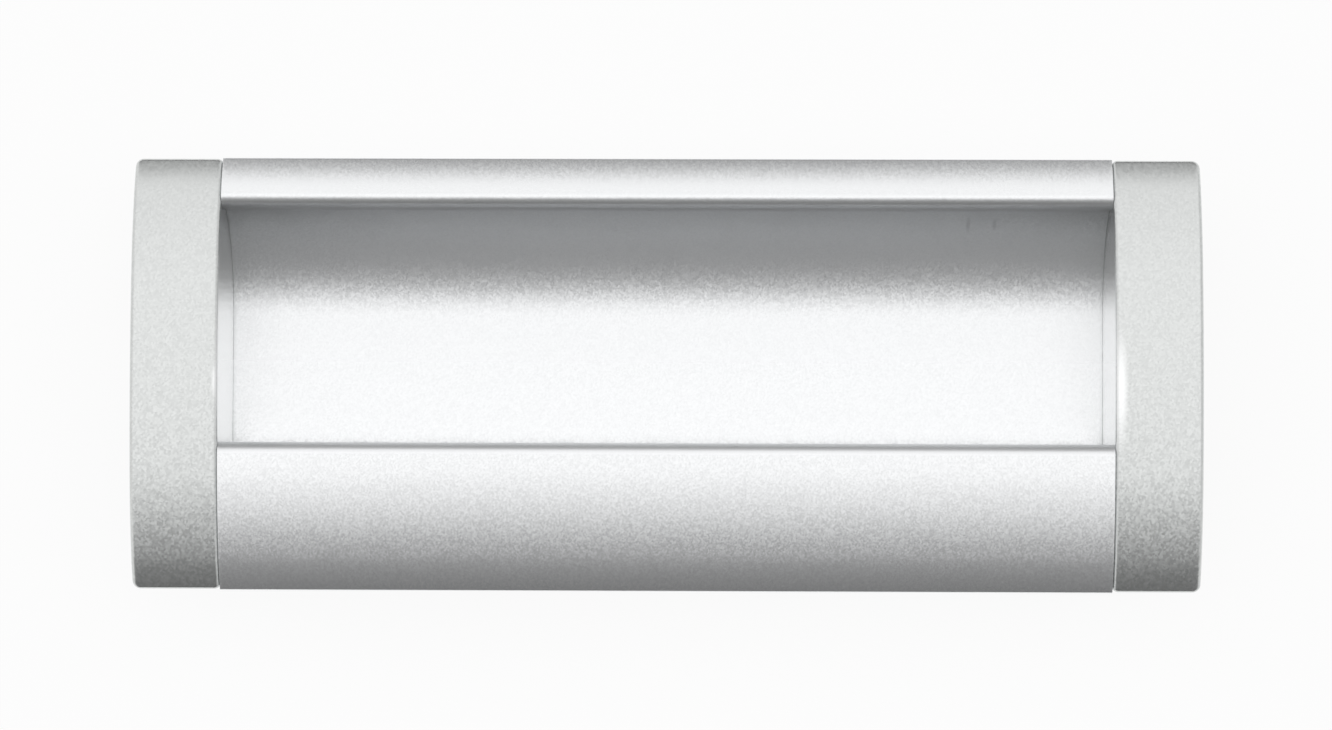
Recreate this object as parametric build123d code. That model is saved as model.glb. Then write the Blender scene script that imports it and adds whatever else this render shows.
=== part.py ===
from build123d import *
import math
import os

# Recessed cabinet pull, in millimetres. X runs along the pull, Y up the door it is let into,
# Z out of the door. The pull lies on its back, so its back is at Z = 0.

# Lengths along the pull
hole_spacing = 96.0
cap_width = 8.6
profile_length = hole_spacing - cap_width
joint_x = profile_length / 2

# Height, depth and the arched front that the profile and the caps share. From its middle to each
# edge the arch runs through three tangent arcs, each tighter than the last: the crown ends a
# margin past the edge of the lower lip, and the flank ends a land past the edge of the upper lip.
profile_height = 42.5
total_depth = 12.5
upper_lip_height = 4.9
mouth_height = 23.1
crown_radius = 150.0
flank_radius = 45.0
shoulder_radius = 16.0
crown_margin = 2.75
lip_land = 1.5
flange_edge = 1.6
half_height = profile_height / 2
upper_lip_y = half_height - upper_lip_height
lower_lip_y = upper_lip_y - mouth_height
crown_half_width = crown_margin - lower_lip_y
knee_y = upper_lip_y + lip_land
crown_angle = math.asin(crown_half_width / crown_radius)
knee_angle = math.asin(math.sin(crown_angle) + (knee_y - crown_half_width) / flank_radius)
edge_angle = math.asin(math.sin(knee_angle) + (half_height - knee_y) / shoulder_radius)


def arch_z(y, drop=0.0):
    """Height of the arched front at y, or of the parallel surface that lies drop behind it."""
    centre_y = 0.0
    centre_z = total_depth - crown_radius
    radius = crown_radius
    for angle, next_radius in ((crown_angle, flank_radius), (knee_angle, shoulder_radius)):
        if abs(y) <= centre_y + (radius - drop) * math.sin(angle):
            break
        centre_y += (radius - next_radius) * math.sin(angle)
        centre_z += (radius - next_radius) * math.cos(angle)
        radius = next_radius
    return centre_z + math.sqrt((radius - drop) ** 2 - (abs(y) - centre_y) ** 2)


edge_z = arch_z(half_height)
seat_z = edge_z - flange_edge

# Lips of the profile and the finger recess between them
wall = 1.5
lower_flange = 3.75
lip_thickness = 1.9
upper_lip_edge = 3.85
recess_radius = 12.0
upper_lip_rounding = 1.1
lower_lip_rounding = 1.1
lip_back_rounding = 0.75
lip_root_rounding = 0.6
slope_top_rounding = 1.0
flange_rounding = 0.25
trough_top_y = upper_lip_y + wall
trough_bottom_y = lower_flange - half_height
lower_wall_y = trough_bottom_y + wall
lip_bend_y = -(crown_radius - lip_thickness) * math.sin(crown_angle)
slope_top_z = arch_z(upper_lip_y) - upper_lip_edge
slope_angle = math.acos(1 - (slope_top_z - wall) / recess_radius)
slope_start_y = upper_lip_y - recess_radius * math.sin(slope_angle)
grip_radius = arch_z(lower_wall_y, lip_thickness) - wall - lip_root_rounding

# Ports along the trough's back corners, and the pegs of the caps that slide into them
port_bore = 2.2
port_wall = 1.0
port_slit = 0.9
peg_clearance = 0.05
peg_length = 6.0
peg_chamfer = 0.35
port_radius = port_bore / 2 + port_wall
port_centres = [
    (trough_top_y - port_radius, port_radius),
    (trough_bottom_y + port_radius, port_radius),
]

# End caps
cap_inset = 0.1
cap_skin = 1.6
cap_wall = 1.4
cheek_thickness = 1.8
outer_corner_radius = 0.8
joint_corner_radius = 0.55
front_edge_radius = 0.45
thread_diameter = 4.0
boss_wall = 1.5
bore_end_wall = 3.5
bore_chamfer = 0.4
cap_height = profile_height - 2 * cap_inset
standing = (Align.CENTER, Align.CENTER, Align.MIN)


def rounded(face, point, radius):
    """The face with its corner at the point rounded."""
    corner = face.vertices().sort_by_distance(point)[0]
    return fillet(corner, radius)


def arch_arc(start_y, end_y, drop=0.0):
    """One arc of the front, or of the surface that lies drop behind it."""
    middle_y = (start_y + end_y) / 2
    return ThreePointArc(*[(y, arch_z(y, drop)) for y in (start_y, middle_y, end_y)])


def arched_face():
    """Section of the flange: the arched front over the level seat that lies on the door."""
    bends = [-half_height, -knee_y, -crown_half_width, crown_half_width, knee_y, half_height]
    front = [arch_arc(start_y, end_y) for start_y, end_y in zip(bends, bends[1:])]
    seat = Polyline(
        (half_height, edge_z),
        (half_height, seat_z),
        (-half_height, seat_z),
        (-half_height, edge_z),
    )
    return make_face(Curve() + [*front, seat])


def trough_face():
    """Outside of the trough behind the flange, one wall thickness around the recess."""
    top_z = seat_z + wall
    outer_radius = recess_radius + wall
    outer_angle = math.asin((trough_top_y - slope_start_y) / outer_radius)
    back = Polyline(
        (slope_start_y, 0),
        (trough_bottom_y, 0),
        (trough_bottom_y, top_z),
        (trough_top_y, top_z),
        (trough_top_y, outer_radius * (1 - math.cos(outer_angle))),
    )
    slope = CenterArc((slope_start_y, outer_radius), outer_radius, -90, math.degrees(outer_angle))
    face = make_face(Curve() + [back, slope])
    return rounded(face, (trough_bottom_y, 0), grip_radius + wall)


def recess_face():
    """The finger recess with its mouth: a round slope, a flat floor and a grip behind the lip."""
    above = total_depth + wall
    slope_centre = (slope_start_y, wall + recess_radius)
    slope = CenterArc(slope_centre, recess_radius, -90, math.degrees(slope_angle))
    floor = Polyline(
        (slope_start_y, wall),
        (lower_wall_y, wall),
        (lower_wall_y, arch_z(lower_wall_y, lip_thickness)),
    )
    lip_root = arch_arc(lower_wall_y, lip_bend_y, lip_thickness)
    lip_back = arch_arc(lip_bend_y, lower_lip_y, lip_thickness)
    mouth = Polyline(
        lip_back @ 1,
        (lower_lip_y, above),
        (upper_lip_y, above),
        (upper_lip_y, slope_top_z),
    )
    face = make_face(Curve() + [slope, floor, lip_root, lip_back, mouth])
    face = rounded(face, (lower_wall_y, wall), grip_radius)
    face = rounded(face, lip_root @ 0, lip_root_rounding)
    return rounded(face, (upper_lip_y, slope_top_z), slope_top_rounding)


def port_rings():
    """Solid rings in the trough's back corners, before they are bored."""
    return Sketch() + [Pos(y, z) * Circle(port_radius) for y, z in port_centres]


def port_bores():
    """Bores of the ports, each open through a slit towards its corner."""
    bores = Sketch()
    for y, z in port_centres:
        outward = -45 if y > 0 else -135
        slit = Pos(port_radius / 2, 0) * Rectangle(port_radius, port_slit)
        bores += Pos(y, z) * (Circle(port_bore / 2) + Rot(0, 0, outward) * slit)
    return bores


def make_profile():
    """The extruded profile, sawn square at both ends."""
    section = arched_face() + trough_face() + port_rings() - recess_face() - port_bores()
    section = rounded(section, (lower_lip_y, arch_z(lower_lip_y)), lower_lip_rounding)
    section = rounded(section, (lower_lip_y, arch_z(lower_lip_y, lip_thickness)), lip_back_rounding)
    section = rounded(section, (upper_lip_y, arch_z(upper_lip_y)), upper_lip_rounding)
    section = rounded(section, (half_height, edge_z), flange_rounding)
    section = rounded(section, (-half_height, edge_z), flange_rounding)
    return extrude(Plane.YZ * section, profile_length / 2, both=True)


def cap_block():
    """Front of a cap: the arch over the seat, with rounded corners and a softened front edge."""
    clip = Pos(0, total_depth / 2) * Rectangle(cap_height, total_depth)
    block = extrude(Plane.YZ.offset(joint_x) * (arched_face() & clip), cap_width)
    uprights = block.edges().filter_by(Axis.Z).group_by(Axis.X)
    block = fillet(uprights[-1], outer_corner_radius)
    uprights = block.edges().filter_by(Axis.Z).group_by(Axis.X)
    block = fillet(uprights[0], joint_corner_radius)
    flattest = math.cos(edge_angle)
    fronts = [face for face in block.faces() if face.normal_at().Z > flattest]
    bounds = [edge for face in fronts for edge in face.edges()]
    rim = [edge for edge in bounds if sum(edge.is_same(other) for other in bounds) == 1]
    return fillet(rim, front_edge_radius)


def cap_core():
    """Hollow cast into the back of a cap, one skin behind the arch."""
    clip = Pos(0, total_depth / 2) * Rectangle(cap_height - 2 * cap_wall, total_depth)
    lowered = Pos(0, -cap_skin) * arched_face() & clip
    length = cap_width - cheek_thickness - cap_wall
    return extrude(Plane.YZ.offset(joint_x + cheek_thickness) * lowered, length)


def cap_cheek():
    """Plate that closes the end of the trough and covers its ports."""
    height = trough_top_y - trough_bottom_y
    top_z = seat_z + cap_skin / 2
    plate = Pos((trough_top_y + trough_bottom_y) / 2, top_z / 2) * Rectangle(height, top_z)
    plate = fillet(plate.vertices().group_by(Axis.Y)[0], port_radius)
    return extrude(Plane.YZ.offset(joint_x) * plate, cheek_thickness)


def cap_pegs():
    """Pegs that slide into the ports of the profile."""
    pegs = Part()
    for y, z in port_centres:
        peg = Cylinder(port_bore / 2 - peg_clearance, peg_length, align=standing)
        peg = chamfer(peg.edges().sort_by(Axis.Z)[-1], peg_chamfer)
        pegs += Pos(joint_x, y, z) * Rot(0, -90, 0) * peg
    return pegs


def make_cap():
    """The right end cap, a die casting with a tapped boss for the fixing screw."""
    bore_radius = thread_diameter / 2
    boss = Cylinder(bore_radius + boss_wall, total_depth - cap_skin, align=standing)
    bore = Cylinder(bore_radius, total_depth - bore_end_wall, align=standing)
    bore += Cone(bore_radius + bore_chamfer, bore_radius, bore_chamfer, align=standing)
    at_screw = Pos(hole_spacing / 2, 0, 0)
    cap = cap_block() - cap_core() + cap_cheek() + at_screw * boss + cap_pegs()
    return cap - at_screw * bore


right_cap = make_cap()
nodes = {
    "profile": make_profile(),
    "end_cap_right": right_cap,
    "end_cap_left": mirror(right_cap, about=Plane.YZ),
}

os.makedirs("parts", exist_ok=True)
for name, solid in nodes.items():
    export_step(solid, f"parts/{name}.step")
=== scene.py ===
import math

import bmesh
import bpy
from mathutils import Matrix, Vector


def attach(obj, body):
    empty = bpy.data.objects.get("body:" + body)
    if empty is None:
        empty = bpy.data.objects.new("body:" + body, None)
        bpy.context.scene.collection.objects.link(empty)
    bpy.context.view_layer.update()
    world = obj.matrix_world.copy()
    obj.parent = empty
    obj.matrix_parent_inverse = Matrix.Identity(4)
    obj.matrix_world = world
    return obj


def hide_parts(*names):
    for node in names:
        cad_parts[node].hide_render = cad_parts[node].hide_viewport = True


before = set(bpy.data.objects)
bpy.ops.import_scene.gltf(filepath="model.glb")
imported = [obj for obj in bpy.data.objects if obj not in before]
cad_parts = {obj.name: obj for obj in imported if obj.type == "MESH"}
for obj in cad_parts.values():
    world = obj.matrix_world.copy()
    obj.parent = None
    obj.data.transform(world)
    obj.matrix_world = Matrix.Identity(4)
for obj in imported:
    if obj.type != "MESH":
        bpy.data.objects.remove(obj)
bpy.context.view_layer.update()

# Profile: one sawn length of extruded aluminium that carries both lips and the finger recess.
# Its section is one closed line, in millimetres with Y across and Z up, and is drawn out along X.
# The two ports behind the recess take the pegs of the end caps.
MM = 0.001
PROFILE_LENGTH = 87.4
HALF_HEIGHT = 21.25
DEPTH = 12.5
CROWN_RADIUS, FLANK_RADIUS, SHOULDER_RADIUS = 150.0, 45.0, 16.0
CROWN_END, FLANK_END = 9.5, 17.85
FLANGE_EDGE, FLANGE_ROUNDING = 1.6, 0.25
UPPER_LIP_Y, UPPER_LIP_ROUNDING, UPPER_LIP_EDGE = 16.35, 1.1, 3.85
LOWER_LIP_Y, LOWER_LIP_ROUNDING, LIP_BACK_ROUNDING = -6.75, 1.1, 0.75
LIP_THICKNESS, LIP_ROOT_ROUNDING = 1.9, 0.6
WALL, RECESS_RADIUS, SLOPE_TOP_ROUNDING = 1.5, 12.0, 1.0
TROUGH_TOP_Y, TROUGH_BOTTOM_Y = 17.85, -17.5
PORT_RADIUS, PORT_BORE_RADIUS, PORT_SLIT = 2.1, 1.1, 0.9
SAW_DEBURR = 0.03
LINE_STEP, LINE_TURN, SAME_POINT = 0.4, math.radians(4), 0.002
SHARP_EDGE = math.radians(30)

CROWN_TILT = math.asin(CROWN_END / CROWN_RADIUS)
FLANK_TILT = math.asin(math.sin(CROWN_TILT) + (FLANK_END - CROWN_END) / FLANK_RADIUS)


def arch(y, drop=0.0):
    """Height of the arched front at y, or of the surface that lies drop behind it, and its tilt."""
    middle_y, middle_z, radius = 0.0, DEPTH - CROWN_RADIUS, CROWN_RADIUS
    for bend, next_radius in ((CROWN_TILT, FLANK_RADIUS), (FLANK_TILT, SHOULDER_RADIUS)):
        if abs(y) <= middle_y + (radius - drop) * math.sin(bend):
            break
        middle_y += (radius - next_radius) * math.sin(bend)
        middle_z += (radius - next_radius) * math.cos(bend)
        radius = next_radius
    tilt = math.asin((abs(y) - middle_y) / (radius - drop))
    return middle_z + (radius - drop) * math.cos(tilt), math.copysign(tilt, y)


def arc(centre, radius, start, end):
    """Points along an arc, from one angle to another."""
    count = math.ceil(abs(end - start) * max(radius / LINE_STEP, 1 / LINE_TURN))
    angles = [start + (end - start) * i / count for i in range(count + 1)]
    return [(centre[0] + radius * math.cos(a), centre[1] + radius * math.sin(a)) for a in angles]


def straight(start, end):
    """Points along a straight run."""
    count = math.ceil(math.dist(start, end) / LINE_STEP)
    return [tuple(a + (b - a) * i / count for a, b in zip(start, end)) for i in range(count + 1)]


def front(start_y, end_y, drop=0.0):
    """Points along the arched front, or along the surface that lies drop behind it."""
    return [(y, arch(y, drop)[0]) for y, _ in straight((start_y, 0.0), (end_y, 0.0))]


def rolled(y, drop):
    """Centre of a ball that rolls drop behind the front, and the direction of the front from it."""
    z, tilt = arch(y, drop)
    return (y, z), math.pi / 2 - tilt


def port(corner, corner_radius, centre, outward):
    """A port's ring where it stands out of a round trough corner, with its slit and its bore."""
    reach = math.dist(corner, centre)
    along = math.atan2(centre[1] - corner[1], centre[0] - corner[0])
    turn = math.acos((PORT_RADIUS**2 + reach**2 - corner_radius**2) / (2 * PORT_RADIUS * reach))
    ring_gap = math.asin(PORT_SLIT / 2 / PORT_RADIUS)
    bore_gap = math.asin(PORT_SLIT / 2 / PORT_BORE_RADIUS)
    points = arc(centre, PORT_RADIUS, along - math.pi + turn, outward - ring_gap)
    points += arc(centre, PORT_BORE_RADIUS, outward - bore_gap, outward - math.tau + bore_gap)
    return points + arc(centre, PORT_RADIUS, outward + ring_gap, along + math.pi - turn)


def corner_share(corner, corner_radius, centre):
    """Angles at which a port's ring cuts a round trough corner."""
    reach = math.dist(corner, centre)
    along = math.atan2(centre[1] - corner[1], centre[0] - corner[0])
    turn = math.acos((corner_radius**2 + reach**2 - PORT_RADIUS**2) / (2 * corner_radius * reach))
    return along - turn, along + turn


def profile_section():
    """The whole section as one closed line, counter-clockwise from the upper edge of the flange."""
    seat_z = arch(HALF_HEIGHT)[0] - FLANGE_EDGE
    slope_top_z = arch(UPPER_LIP_Y)[0] - UPPER_LIP_EDGE
    slope_turn = math.acos(1 - (slope_top_z - WALL) / RECESS_RADIUS)
    slope_y = UPPER_LIP_Y - RECESS_RADIUS * math.sin(slope_turn)
    slope = (slope_y, WALL + RECESS_RADIUS)
    lower_wall_y = TROUGH_BOTTOM_Y + WALL
    grip_radius = arch(lower_wall_y, LIP_THICKNESS)[0] - WALL - LIP_ROOT_ROUNDING
    grip = (lower_wall_y + grip_radius, WALL + grip_radius)
    upper_port = (TROUGH_TOP_Y - PORT_RADIUS, PORT_RADIUS)
    lower_port = (TROUGH_BOTTOM_Y + PORT_RADIUS, PORT_RADIUS)

    upper_edge, upper_edge_turn = rolled(HALF_HEIGHT - FLANGE_ROUNDING, FLANGE_ROUNDING)
    upper_lip, upper_lip_turn = rolled(UPPER_LIP_Y + UPPER_LIP_ROUNDING, UPPER_LIP_ROUNDING)
    lip_root_drop = LIP_THICKNESS + LIP_ROOT_ROUNDING
    lip_root, lip_root_turn = rolled(lower_wall_y + LIP_ROOT_ROUNDING, lip_root_drop)
    lip_back_drop = LIP_THICKNESS - LIP_BACK_ROUNDING
    lip_back, lip_back_turn = rolled(LOWER_LIP_Y - LIP_BACK_ROUNDING, lip_back_drop)
    lip_front, lip_front_turn = rolled(LOWER_LIP_Y - LOWER_LIP_ROUNDING, LOWER_LIP_ROUNDING)
    lower_edge, lower_edge_turn = rolled(FLANGE_ROUNDING - HALF_HEIGHT, FLANGE_ROUNDING)
    slope_top_y = UPPER_LIP_Y - SLOPE_TOP_ROUNDING
    slope_rest = math.sqrt((RECESS_RADIUS - SLOPE_TOP_ROUNDING) ** 2 - (slope_top_y - slope_y) ** 2)
    slope_top = (slope_top_y, slope[1] - slope_rest)
    slope_top_turn = math.atan2(-slope_rest, slope_top_y - slope_y)

    line = arc(upper_edge, FLANGE_ROUNDING, 0, upper_edge_turn)
    upper_front = arc(upper_lip, UPPER_LIP_ROUNDING, upper_lip_turn, math.pi)
    line += front(line[-1][0], upper_front[0][0]) + upper_front
    recess = arc(slope_top, SLOPE_TOP_ROUNDING, 0, slope_top_turn)
    line += straight(line[-1], recess[0]) + recess
    line += arc(slope, RECESS_RADIUS, slope_top_turn, -math.pi / 2)
    line += straight(line[-1], (grip[0], WALL))
    line += arc(grip, grip_radius, -math.pi / 2, -math.pi)
    line += arc(lip_root, LIP_ROOT_ROUNDING, math.pi, lip_root_turn)
    edge = arc(lip_back, LIP_BACK_ROUNDING, lip_back_turn - math.pi, 0)
    line += front(line[-1][0], edge[0][0], LIP_THICKNESS) + edge
    edge = arc(lip_front, LOWER_LIP_ROUNDING, 0, lip_front_turn)
    line += straight(line[-1], edge[0]) + edge
    edge = arc(lower_edge, FLANGE_ROUNDING, lower_edge_turn, math.pi)
    line += front(line[-1][0], edge[0][0]) + edge
    line += straight(line[-1], (-HALF_HEIGHT, seat_z))
    first, second = corner_share(grip, grip_radius + WALL, lower_port)
    seat_turn = math.asin((grip[1] - seat_z) / (grip_radius + WALL)) - math.pi
    corner = arc(grip, grip_radius + WALL, seat_turn, first)
    line += straight(line[-1], corner[0]) + corner
    line += port(grip, grip_radius + WALL, lower_port, math.radians(-135))
    line += arc(grip, grip_radius + WALL, second, -math.pi / 2)
    line += straight(line[-1], (slope_y, 0.0))
    first, second = corner_share(slope, RECESS_RADIUS + WALL, upper_port)
    line += arc(slope, RECESS_RADIUS + WALL, -math.pi / 2, first)
    line += port(slope, RECESS_RADIUS + WALL, upper_port, math.radians(-45))
    slope_end = -math.acos((TROUGH_TOP_Y - slope_y) / (RECESS_RADIUS + WALL))
    line += arc(slope, RECESS_RADIUS + WALL, second, slope_end)
    line += straight(line[-1], (TROUGH_TOP_Y, seat_z))
    line += straight(line[-1], (HALF_HEIGHT, seat_z))
    line += straight(line[-1], line[0])
    return [a for a, b in zip(line, line[1:] + line[:1]) if math.dist(a, b) > SAME_POINT]


def drawn_out(line, stations):
    """A closed solid: the section line drawn out along X, at each station set in by an amount."""
    count = len(line)
    runs = [(Vector(line[(i + 1) % count]) - Vector(line[i])).normalized() for i in range(count)]
    sides = [Vector((-run.y, run.x)) for run in runs]
    inward = [(sides[i - 1] + sides[i]) / (1 + sides[i - 1].dot(sides[i])) for i in range(count)]
    mesh = bmesh.new()
    rings = [
        [mesh.verts.new((x, y + inset * ny, z + inset * nz)) for (y, z), (ny, nz) in zip(line, inward)]
        for x, inset in stations
    ]
    for ring, following in zip(rings, rings[1:]):
        for i in range(count):
            j = (i + 1) % count
            mesh.faces.new((ring[i], ring[j], following[j], following[i]))
    mesh.faces.new(rings[0])
    mesh.faces.new(rings[-1])
    bmesh.ops.recalc_face_normals(mesh, faces=mesh.faces)
    return mesh


def new_object(name, mesh):
    """A mesh as an object of the scene, still in millimetres."""
    data = bpy.data.meshes.new(name)
    mesh.to_mesh(data)
    mesh.free()
    piece = bpy.data.objects.new(name, data)
    bpy.context.collection.objects.link(piece)
    return piece


def put_in_place(piece, node_name, material_slot, *materials):
    """Bring a finished piece to metres, smooth it up to its edges, and let it stand for its node."""
    piece.data.transform(Matrix.Scale(MM, 4))
    piece.data.shade_smooth()
    piece.data.set_sharp_from_angle(angle=SHARP_EDGE)
    for material in materials:
        piece.data.materials.append(material)
    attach(piece, "root")
    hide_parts(node_name)


def linear(hex_colour):
    """sRGB hex to the linear colour that shaders take."""
    parts = [int(hex_colour[i : i + 2], 16) / 255 for i in (1, 3, 5)]
    return [c / 12.92 if c <= 0.04045 else ((c + 0.055) / 1.055) ** 2.4 for c in parts] + [1.0]


def add_node(tree, kind, inputs=None, **settings):
    """Add a node with its settings; each input takes a value, or the output that feeds it."""
    node = tree.nodes.new(kind)
    for name, value in settings.items():
        setattr(node, name, value)
    for socket, value in (inputs or {}).items():
        if isinstance(value, bpy.types.NodeSocket):
            tree.links.new(value, node.inputs[socket])
        else:
            node.inputs[socket].default_value = value
    return node


def new_material(name):
    """An empty node material and its output node."""
    material = bpy.data.materials.new(name)
    material.use_nodes = True
    material.node_tree.nodes.clear()
    return material, add_node(material.node_tree, "ShaderNodeOutputMaterial")


def grain(tree, size, tilt, dark, light):
    """Normal and tone of a grained surface: each grain leans its own way and has its own tone."""
    place = add_node(tree, "ShaderNodeTexCoord").outputs["Object"]
    cells = {"Vector": place, "Scale": 1 / size}
    grains = add_node(tree, "ShaderNodeTexVoronoi", cells).outputs["Color"]
    around_zero = {0: grains, 1: (0.5, 0.5, 0.5)}
    lean = add_node(tree, "ShaderNodeVectorMath", around_zero, operation="SUBTRACT").outputs[0]
    tilted = {0: lean, "Scale": tilt}
    lean = add_node(tree, "ShaderNodeVectorMath", tilted, operation="SCALE").outputs[0]
    plain = add_node(tree, "ShaderNodeNewGeometry").outputs["Normal"]
    normal = add_node(tree, "ShaderNodeVectorMath", {0: plain, 1: lean}, operation="ADD").outputs[0]
    normal = add_node(tree, "ShaderNodeVectorMath", {0: normal}, operation="NORMALIZE").outputs[0]
    tones = {"Fac": grains, "Color1": linear(dark), "Color2": linear(light)}
    return normal, add_node(tree, "ShaderNodeMixRGB", tones).outputs["Color"]


SPOT_CORE = 0.2


def spot(tree, place, centre, reach):
    """How far a place lies inside a spot: 1 in its core, fading to 0 at its reach along each axis."""
    offset = {0: place, 1: Vector(centre) * MM}
    way = add_node(tree, "ShaderNodeVectorMath", offset, operation="SUBTRACT").outputs[0]
    share = {0: way, 1: Vector(reach) * MM}
    way = add_node(tree, "ShaderNodeVectorMath", share, operation="DIVIDE").outputs[0]
    away = add_node(tree, "ShaderNodeVectorMath", {0: way}, operation="LENGTH").outputs["Value"]
    fade = {"Value": away, "From Min": SPOT_CORE, "From Max": 1.0, "To Min": 1.0, "To Max": 0.0}
    inside = add_node(tree, "ShaderNodeMapRange", fade, interpolation_type="SMOOTHSTEP")
    return inside.outputs["Result"]


# Satin anodised aluminium: fine blasting and etching leave dents about 0.16 mm across, which break
# the edges of reflections into a fine grain. The blast bites deeper in the slope of the recess,
# where it turns back on itself, and on the edges of the lips. The floor stays smoother in the lee
# of the lower lip. The clear oxide scatters a little light of its own, and two faint grey scrapes
# cross the upper right of the slope.
SATIN_DENT = 0.16 * MM
SATIN_TILT, SLOPE_TILT, LEE_TILT = 0.045, 0.12, 0.025
SATIN_ROUGHNESS, SLOPE_ROUGHNESS, LEE_ROUGHNESS = 0.2, 0.42, 0.13
LOWER_EDGE_ROUGHNESS, UPPER_EDGE_ROUGHNESS = 0.45, 0.36
ALL_ALONG = 1000.0
SLOPE = ((0.0, 12.5, 5.0), (ALL_ALONG, 30.0, 6.0))
LEE = ((0.0, -8.5, 1.5), (ALL_ALONG, 5.0, 3.0))
LOWER_EDGE = ((0.0, -6.6, 11.4), (ALL_ALONG, 2.0, 2.5))
UPPER_EDGE = ((0.0, 16.2, 10.0), (ALL_ALONG, 2.2, 2.5))
SCRAPES = (
    ((29.9, 15.1, 5.7), (0.3, 1.2, 1.8)),
    ((32.5, 15.1, 5.7), (0.3, 0.9, 1.4)),
)

satin, output = new_material("satin_anodised_aluminium")
tree = satin.node_tree
place = add_node(tree, "ShaderNodeTexCoord").outputs["Object"]
slope = spot(tree, place, *SLOPE)
lee = spot(tree, place, *LEE)
tilt = SATIN_TILT
for inside, local in ((slope, SLOPE_TILT), (lee, LEE_TILT)):
    tilts = {"Value": inside, "To Min": tilt, "To Max": local}
    tilt = add_node(tree, "ShaderNodeMapRange", tilts).outputs["Result"]
roughness = SATIN_ROUGHNESS
for inside, local in (
    (slope, SLOPE_ROUGHNESS),
    (lee, LEE_ROUGHNESS),
    (spot(tree, place, *LOWER_EDGE), LOWER_EDGE_ROUGHNESS),
    (spot(tree, place, *UPPER_EDGE), UPPER_EDGE_ROUGHNESS),
):
    roughnesses = {"Value": inside, "To Min": roughness, "To Max": local}
    roughness = add_node(tree, "ShaderNodeMapRange", roughnesses).outputs["Result"]
normal, tone = grain(tree, SATIN_DENT, tilt, "#e8e9ea", "#eeeff0")
for centre, reach in SCRAPES:
    scraped = spot(tree, place, centre, reach)
    tones = {"Fac": scraped, "Color1": tone, "Color2": linear("#dadbdc")}
    tone = add_node(tree, "ShaderNodeMixRGB", tones).outputs["Color"]
surface = add_node(
    tree,
    "ShaderNodeBsdfPrincipled",
    {"Base Color": tone, "Metallic": 0.95, "Roughness": roughness, "Normal": normal},
)
tree.links.new(surface.outputs["BSDF"], output.inputs["Surface"])

half_length = PROFILE_LENGTH / 2
turns = [math.radians(angle) for angle in (90, 60, 30, 0)]
stations = [(SAW_DEBURR * (1 - math.sin(a)), SAW_DEBURR * (1 - math.cos(a))) for a in turns]
stations = [(x - half_length, inset) for x, inset in [*stations, (LINE_STEP, 0.0)]]
stations += [(-x, inset) for x, inset in reversed(stations)]
profile = new_object("aluminium_profile", drawn_out(profile_section(), stations))
put_in_place(profile, "profile", "satin_anodised_aluminium", satin)

# End caps: a mirrored pair of zinc castings with the same arched front, hollow behind it. A cheek
# closes the end of the trough, two pegs slide into the profile's ports, and a boss is tapped for
# the fixing screw. They are sprayed with a silver metallic lacquer.
JOINT_X = PROFILE_LENGTH / 2
CAP_WIDTH, CAP_HALF_HEIGHT = 8.6, 21.15
CAP_SKIN, CAP_WALL, CHEEK_THICKNESS = 1.6, 1.4, 1.8
OUTER_CORNER_RADIUS, JOINT_CORNER_RADIUS, FRONT_EDGE_RADIUS = 0.8, 0.55, 0.45
PEG_RADIUS, PEG_LENGTH, PEG_CHAMFER = 1.05, 6.0, 0.35
BOSS_RADIUS, BORE_DEPTH, THREAD_RADIUS = 3.5, 9.0, 2.0
THREAD_PITCH, THREAD_CREST_RADIUS = 0.7, 1.62
CAST_EDGE, BORE_CHAMFER = 0.2, 0.4
CUT_PAST = 1.0
CORNER_STEPS, EDGE_STEPS = 8, 104
SEAT_Z = arch(HALF_HEIGHT)[0] - FLANGE_EDGE
SCREW_X = JOINT_X + CAP_WIDTH / 2


def cap_edge(x, facing, radius):
    """Places along one long edge of a cap, from its lower to its upper corner, and their facing."""
    middle = CAP_HALF_HEIGHT - radius
    turns = [i * math.pi / 2 / CORNER_STEPS for i in range(CORNER_STEPS + 1)]
    places = [(-middle, facing * math.sin(a), -math.cos(a)) for a in turns]
    places += [(middle * (2 * i / EDGE_STEPS - 1), facing, 0.0) for i in range(1, EDGE_STEPS)]
    places += [(middle, facing * math.cos(a), math.sin(a)) for a in turns]
    return [
        (Vector((x + radius * (wx - facing), y + radius * wy, 0)), Vector((wx, wy, 0)))
        for y, wx, wy in places
    ]


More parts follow.
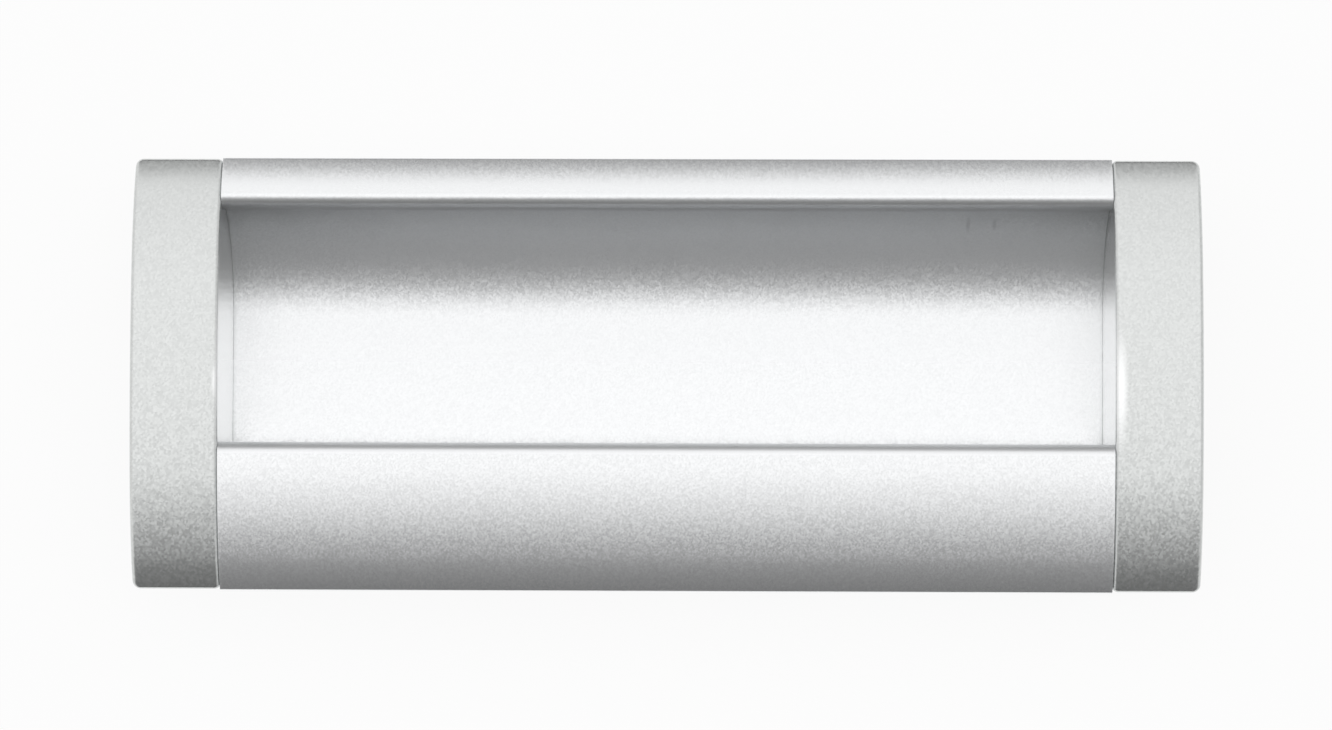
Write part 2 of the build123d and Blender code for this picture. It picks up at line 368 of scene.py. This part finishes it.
def cap_block():
    """The front of the right cap, solid: the arch over the level seat, with its edge rounded."""
    inner = cap_edge(JOINT_X, -1, JOINT_CORNER_RADIUS)
    outer = cap_edge(JOINT_X + CAP_WIDTH, 1, OUTER_CORNER_RADIUS)
    mesh = bmesh.new()
    rows = []
    for corner, facing in inner + outer[::-1]:
        ball = corner - FRONT_EDGE_RADIUS * facing
        ball.z, tilt = arch(ball.y, FRONT_EDGE_RADIUS)
        normal = Vector((0, math.sin(tilt), math.cos(tilt)))
        points = [Vector((corner.x, corner.y, z)) for z in (SEAT_Z, ball.z - LINE_STEP)]
        shares = [i / CORNER_STEPS for i in range(CORNER_STEPS + 1)]
        points += [ball + FRONT_EDGE_RADIUS * facing.slerp(normal, share) for share in shares]
        rows.append([mesh.verts.new(point) for point in points])
    for row, following in zip(rows, rows[1:] + rows[:1]):
        for i in range(len(row) - 1):
            mesh.faces.new((row[i], row[i + 1], following[i + 1], following[i]))
    mesh.faces.new([row[0] for row in rows])
    across = []
    for left, right in zip(rows[1 : len(inner) - 1], rows[-2 : len(inner) : -1]):
        step = LINE_STEP * (right[-1].co - left[-1].co).normalized()
        between = [mesh.verts.new(left[-1].co + step), mesh.verts.new(right[-1].co - step)]
        across.append([left[-1], *between, right[-1]])
    for row, following in zip(across, across[1:]):
        for i in range(len(row) - 1):
            mesh.faces.new((row[i], row[i + 1], following[i + 1], following[i]))
    mesh.faces.new([rows[0][-1], *across[0], rows[-1][-1]])
    mesh.faces.new([rows[len(inner) - 1][-1], *across[-1], rows[len(inner)][-1]])
    bmesh.ops.recalc_face_normals(mesh, faces=mesh.faces)
    return mesh


def cap_core():
    """The hollow behind the front of the right cap."""
    half = CAP_HALF_HEIGHT - CAP_WALL
    line = [(y, z - CAP_SKIN) for y, z in front(half, -half)]
    line += [(-half, SEAT_Z - CUT_PAST), (half, SEAT_Z - CUT_PAST)]
    return drawn_out(line, [(JOINT_X + CHEEK_THICKNESS, 0.0), (JOINT_X + CAP_WIDTH - CAP_WALL, 0.0)])


def cap_cheek():
    """The plate that closes the end of the trough."""
    top = SEAT_Z + CAP_SKIN / 2
    line = [(TROUGH_TOP_Y, top), (TROUGH_BOTTOM_Y, top)]
    line += arc((TROUGH_BOTTOM_Y + PORT_RADIUS, PORT_RADIUS), PORT_RADIUS, -math.pi, -math.pi / 2)
    line += arc((TROUGH_TOP_Y - PORT_RADIUS, PORT_RADIUS), PORT_RADIUS, -math.pi / 2, 0)
    back = JOINT_X + CHEEK_THICKNESS
    return drawn_out(line, [(JOINT_X, 0.0), (back - CAST_EDGE, 0.0), (back, CAST_EDGE)])


def cap_peg(y):
    """A peg that slides into a port."""
    tip = JOINT_X - PEG_LENGTH
    line = arc((y, PORT_RADIUS), PEG_RADIUS, 0, math.tau)[:-1]
    return drawn_out(line, [(tip, PEG_CHAMFER), (tip + PEG_CHAMFER, 0.0), (JOINT_X + CAST_EDGE, 0.0)])


def upright(radius, stations):
    """A round solid on the axis of the right cap's screw."""
    mesh = drawn_out(arc((0, 0), radius, 0, math.tau)[:-1], stations)
    stand = Matrix(((0, 1, 0, SCREW_X), (0, 0, 1, 0), (1, 0, 0, 0), (0, 0, 0, 1)))
    bmesh.ops.transform(mesh, matrix=stand, verts=mesh.verts)
    return mesh


def tapped_hole(x):
    """What an M4 tap takes out of a boss: one right-hand screw line, closed at both its ends."""
    steps, turns = 32, 13
    low = -CUT_PAST
    crest, flank, root = THREAD_PITCH / 4, THREAD_PITCH * 5 / 16, THREAD_PITCH / 8
    line = [(0.0, THREAD_CREST_RADIUS), (crest, THREAD_CREST_RADIUS)]
    line += [(crest + flank, THREAD_RADIUS), (crest + flank + root, THREAD_RADIUS)]
    mesh = bmesh.new()
    last = steps * turns
    lines = [[] for _ in line]
    for i in range(last + steps + 1):
        turn = math.tau * i / steps
        for points, (rise, radius) in zip(lines, line):
            z = low + THREAD_PITCH * i / steps + rise
            if i <= last or rise == 0.0:
                points.append(mesh.verts.new((x + radius * math.cos(turn), radius * math.sin(turn), z)))
    lines.append(lines[0][steps:])
    for i in range(last):
        for points, following in zip(lines, lines[1:]):
            mesh.faces.new((points[i], points[i + 1], following[i + 1], following[i]))
    mouth = lines[0][: steps + 1] + [points[0] for points in lines[3:0:-1]]
    end = lines[0][last : last + steps + 1] + [points[last] for points in lines[3:0:-1]]
    for rim, z in ((mouth, low - THREAD_PITCH), (end, BORE_DEPTH)):
        point = mesh.verts.new((x, 0, z))
        for a, b in zip(rim, rim[1:] + rim[:1]):
            mesh.faces.new((a, b, point))
    bmesh.ops.recalc_face_normals(mesh, faces=mesh.faces)
    return mesh


def turned_to(side, mesh):
    """The mesh as it is for the right cap, or mirrored for the left one."""
    if side < 0:
        bmesh.ops.scale(mesh, vec=(-1, 1, 1), verts=mesh.verts)
        bmesh.ops.reverse_faces(mesh, faces=mesh.faces)
    return mesh


def work(piece, tool_mesh, operation):
    """Weld a solid on a piece, or cut it out of it."""
    tool = new_object("tool", tool_mesh)
    change = piece.modifiers.new("work", "BOOLEAN")
    change.object = tool
    change.operation = operation
    change.solver = "EXACT"
    result = piece.evaluated_get(bpy.context.evaluated_depsgraph_get())
    worked = bpy.data.meshes.new_from_object(result)
    piece.modifiers.clear()
    piece.data = worked
    bpy.data.objects.remove(tool)


# Silver metallic lacquer: aluminium flakes in a clear glossy binder. The flakes lie at slightly
# different angles, so each takes its own light and the film sparkles. They are drawn 0.22 mm
# across, several times their real size, to show. The cheeks and the inner edges of the caps
# are painted lighter as painted reflection, with a painted highlight on each inner edge.
FLAKE, FLAKE_TILT = 0.22 * MM, 0.06

lacquer, output = new_material("silver_metallic_lacquer")
tree = lacquer.node_tree
normal, tone = grain(tree, FLAKE, FLAKE_TILT, "#c7c9c8", "#d6d8d7")
place = add_node(tree, "ShaderNodeTexCoord").outputs["Object"]
either_end = add_node(tree, "ShaderNodeVectorMath", {0: place}, operation="ABSOLUTE").outputs[0]
# Painted light: the cheeks lighter as painted reflection, and a painted highlight on each inner edge at
# mid-height.
PAINTED_HIGHLIGHTS = (
    (either_end, (JOINT_X, 0.0, 6.0), (0.4, 11.0, 18.0), "#f6f7f7"),
    (place, (JOINT_X + 0.5, -1.4, 12.0), (0.9, 7.0, 3.0), "#f0f1f1"),
    (place, (-JOINT_X - 0.1, -0.8, 12.0), (0.6, 2.4, 3.0), "#f0f1f1"),
)
for where, centre, reach, bright in PAINTED_HIGHLIGHTS:
    highlight_share = spot(tree, where, centre, reach)
    tones = {"Fac": highlight_share, "Color1": tone, "Color2": linear(bright)}
    tone = add_node(tree, "ShaderNodeMixRGB", tones).outputs["Color"]
surface = add_node(
    tree,
    "ShaderNodeBsdfPrincipled",
    {
        "Base Color": tone,
        "Metallic": 1.0,
        "Roughness": 0.26,
        "Normal": normal,
        "Coat Weight": 1.0,
        "Coat Roughness": 0.08,
    },
)
tree.links.new(surface.outputs["BSDF"], output.inputs["Surface"])

# Tapped zinc: bare metal that the tap has cut bright after spraying, with fine tool marks.
TAP_MARK, TAP_TILT = 0.08 * MM, 0.1

zinc, output = new_material("tapped_bare_zinc")
tree = zinc.node_tree
normal, tone = grain(tree, TAP_MARK, TAP_TILT, "#b9bbbe", "#c5c7ca")
surface = add_node(
    tree,
    "ShaderNodeBsdfPrincipled",
    {"Base Color": tone, "Metallic": 1.0, "Roughness": 0.3, "Normal": normal},
)
tree.links.new(surface.outputs["BSDF"], output.inputs["Surface"])

BOSS_TOP = DEPTH - CAP_SKIN / 2
COUNTERSINK = [(-BORE_CHAMFER, 0.0), (2 * BORE_CHAMFER, 3 * BORE_CHAMFER)]
LEVEL_FACE = 0.95
for side, node_name in ((-1, "end_cap_left"), (1, "end_cap_right")):
    cap = new_object(node_name + "_casting", turned_to(side, cap_block()))
    work(cap, turned_to(side, cap_core()), "DIFFERENCE")
    work(cap, turned_to(side, cap_cheek()), "UNION")
    boss = upright(BOSS_RADIUS, [(0.0, CAST_EDGE), (CAST_EDGE, 0.0), (BOSS_TOP, 0.0)])
    work(cap, turned_to(side, boss), "UNION")
    for port_y in (TROUGH_BOTTOM_Y + PORT_RADIUS, TROUGH_TOP_Y - PORT_RADIUS):
        work(cap, turned_to(side, cap_peg(port_y)), "UNION")
    countersink = upright(THREAD_RADIUS + 2 * BORE_CHAMFER, COUNTERSINK)
    work(cap, turned_to(side, countersink), "DIFFERENCE")
    work(cap, tapped_hole(side * SCREW_X), "DIFFERENCE")
    for face in cap.data.polygons:
        x, y, z = face.center
        from_axis = math.hypot(x - side * SCREW_X, y)
        in_hole = from_axis < THREAD_RADIUS + BORE_CHAMFER and z < BORE_DEPTH
        face.material_index = int(in_hole and abs(face.normal.z) < LEVEL_FACE)
    put_in_place(cap, node_name, "silver_lacquer", lacquer, zinc)

# Stage: a plain white sheet under the pull, inside a light tent that is brightest overhead. It
# fades towards the feet of its near and far walls, which the edges of the pull mirror.
SHEET_HALF = 4000 * MM
SHEET_DROP = 0.02 * MM

floor_mesh = bpy.data.meshes.new("floor")
corners = [
    (x * SHEET_HALF, y * SHEET_HALF, -SHEET_DROP) for x, y in ((-1, -1), (1, -1), (1, 1), (-1, 1))
]
floor_mesh.from_pydata(corners, [], [(0, 1, 2, 3)])
floor = bpy.data.objects.new("floor", floor_mesh)
bpy.context.collection.objects.link(floor)

# White paper, lit through from below: most of its white is its own, and the rest takes shadow.
SHEET_GLOW = 0.9

sheet, output = new_material("backlit_white_paper")
tree = sheet.node_tree
paper = add_node(tree, "ShaderNodeBsdfDiffuse", {"Color": linear("#fafafa")})
glow = add_node(tree, "ShaderNodeEmission", {"Color": linear("#ffffff"), "Strength": 1.0})
ray = add_node(tree, "ShaderNodeLightPath").outputs
seen = ray["Is Camera Ray"]
for other in ("Is Glossy Ray", "Is Transmission Ray"):
    seen = add_node(tree, "ShaderNodeMath", {0: seen, 1: ray[other]}, operation="ADD").outputs[0]
share = add_node(tree, "ShaderNodeMath", {0: seen, 1: SHEET_GLOW}, operation="MULTIPLY").outputs[0]
layers = {0: share, 1: paper.outputs["BSDF"], 2: glow.outputs["Emission"]}
mixed = add_node(tree, "ShaderNodeMixShader", layers)
tree.links.new(mixed.outputs["Shader"], output.inputs["Surface"])
floor_mesh.materials.append(sheet)

# The tent: how bright it is from the near side to the far side, by the Y of the direction. Each
# of its end walls has one level of its own, which takes over by the X of the direction.
LEFT_END, RIGHT_END = 0.95, 0.8
END_START, END_FULL, END_CHANGE = 0.3, 0.9, 0.1
TENT_PEAK = 1.23
TENT = (
    (-1.0, 0.15),
    (-0.8, 0.2),
    (-0.65, 0.255),
    (-0.5, 0.33),
    (-0.4, 0.58),
    (-0.3, 0.84),
    (-0.2, 1.01),
    (-0.1, 1.2),
    (0.0, 1.23),
    (0.1, 1.23),
    (0.2, 1.19),
    (0.5, 1.1),
    (0.6, 1.13),
    (0.68, 1.05),
    (0.82, 0.44),
    (1.0, 0.2),
)
world = bpy.data.worlds.new("light_tent")
bpy.context.scene.world = world
world.use_nodes = True
tree = world.node_tree
tree.nodes.clear()
output = add_node(tree, "ShaderNodeOutputWorld")
direction = add_node(tree, "ShaderNodeTexCoord").outputs["Generated"]
part = add_node(tree, "ShaderNodeSeparateXYZ", {"Vector": direction}).outputs
across = {"Value": part["Y"], "From Min": -1.0, "From Max": 1.0}
span = add_node(tree, "ShaderNodeMapRange", across).outputs["Result"]
tent = add_node(tree, "ShaderNodeFloatCurve", {"Value": span})
curve = tent.mapping.curves[0]
while len(curve.points) < len(TENT):
    curve.points.new(0.5, 0.5)
for point, (y, level) in zip(curve.points, TENT):
    point.location = ((y + 1) / 2, level / TENT_PEAK)
    point.handle_type = "VECTOR"
tent.mapping.update()
scaled = {0: tent.outputs[0], 1: TENT_PEAK}
middle = add_node(tree, "ShaderNodeMath", scaled, operation="MULTIPLY").outputs[0]
sideways = add_node(tree, "ShaderNodeMath", {0: part["X"]}, operation="ABSOLUTE").outputs[0]
fade = {"Value": sideways, "From Min": END_START, "From Max": END_FULL}
end_share = add_node(tree, "ShaderNodeMapRange", fade, interpolation_type="SMOOTHSTEP").outputs["Result"]
ends = {"From Min": -END_CHANGE, "From Max": END_CHANGE, "To Min": LEFT_END, "To Max": RIGHT_END}
end = add_node(tree, "ShaderNodeMapRange", {"Value": part["X"], **ends}).outputs["Result"]
level = add_node(tree, "ShaderNodeMix", {0: end_share, 2: middle, 3: end}).outputs["Result"]
room = add_node(tree, "ShaderNodeBackground", {"Color": linear("#ffffff"), "Strength": level})
tree.links.new(room.outputs["Background"], output.inputs["Surface"])

# Camera: straight in front of the pull, which lies face up, and turned a little as in the
# photograph.
lens = bpy.data.cameras.new("camera")
lens.sensor_fit = "HORIZONTAL"
lens.sensor_width = 36.0
lens.lens = 90.291
camera = bpy.data.objects.new("camera", lens)
bpy.context.collection.objects.link(camera)
camera.location = (4.343 * MM, -9.583 * MM, 337.197 * MM)
camera.rotation_mode = "ZYX"
camera.rotation_euler = (math.radians(1.841), math.radians(0.761), math.radians(0.172))
bpy.context.scene.camera = camera
bpy.context.scene.view_settings.view_transform = "Standard"
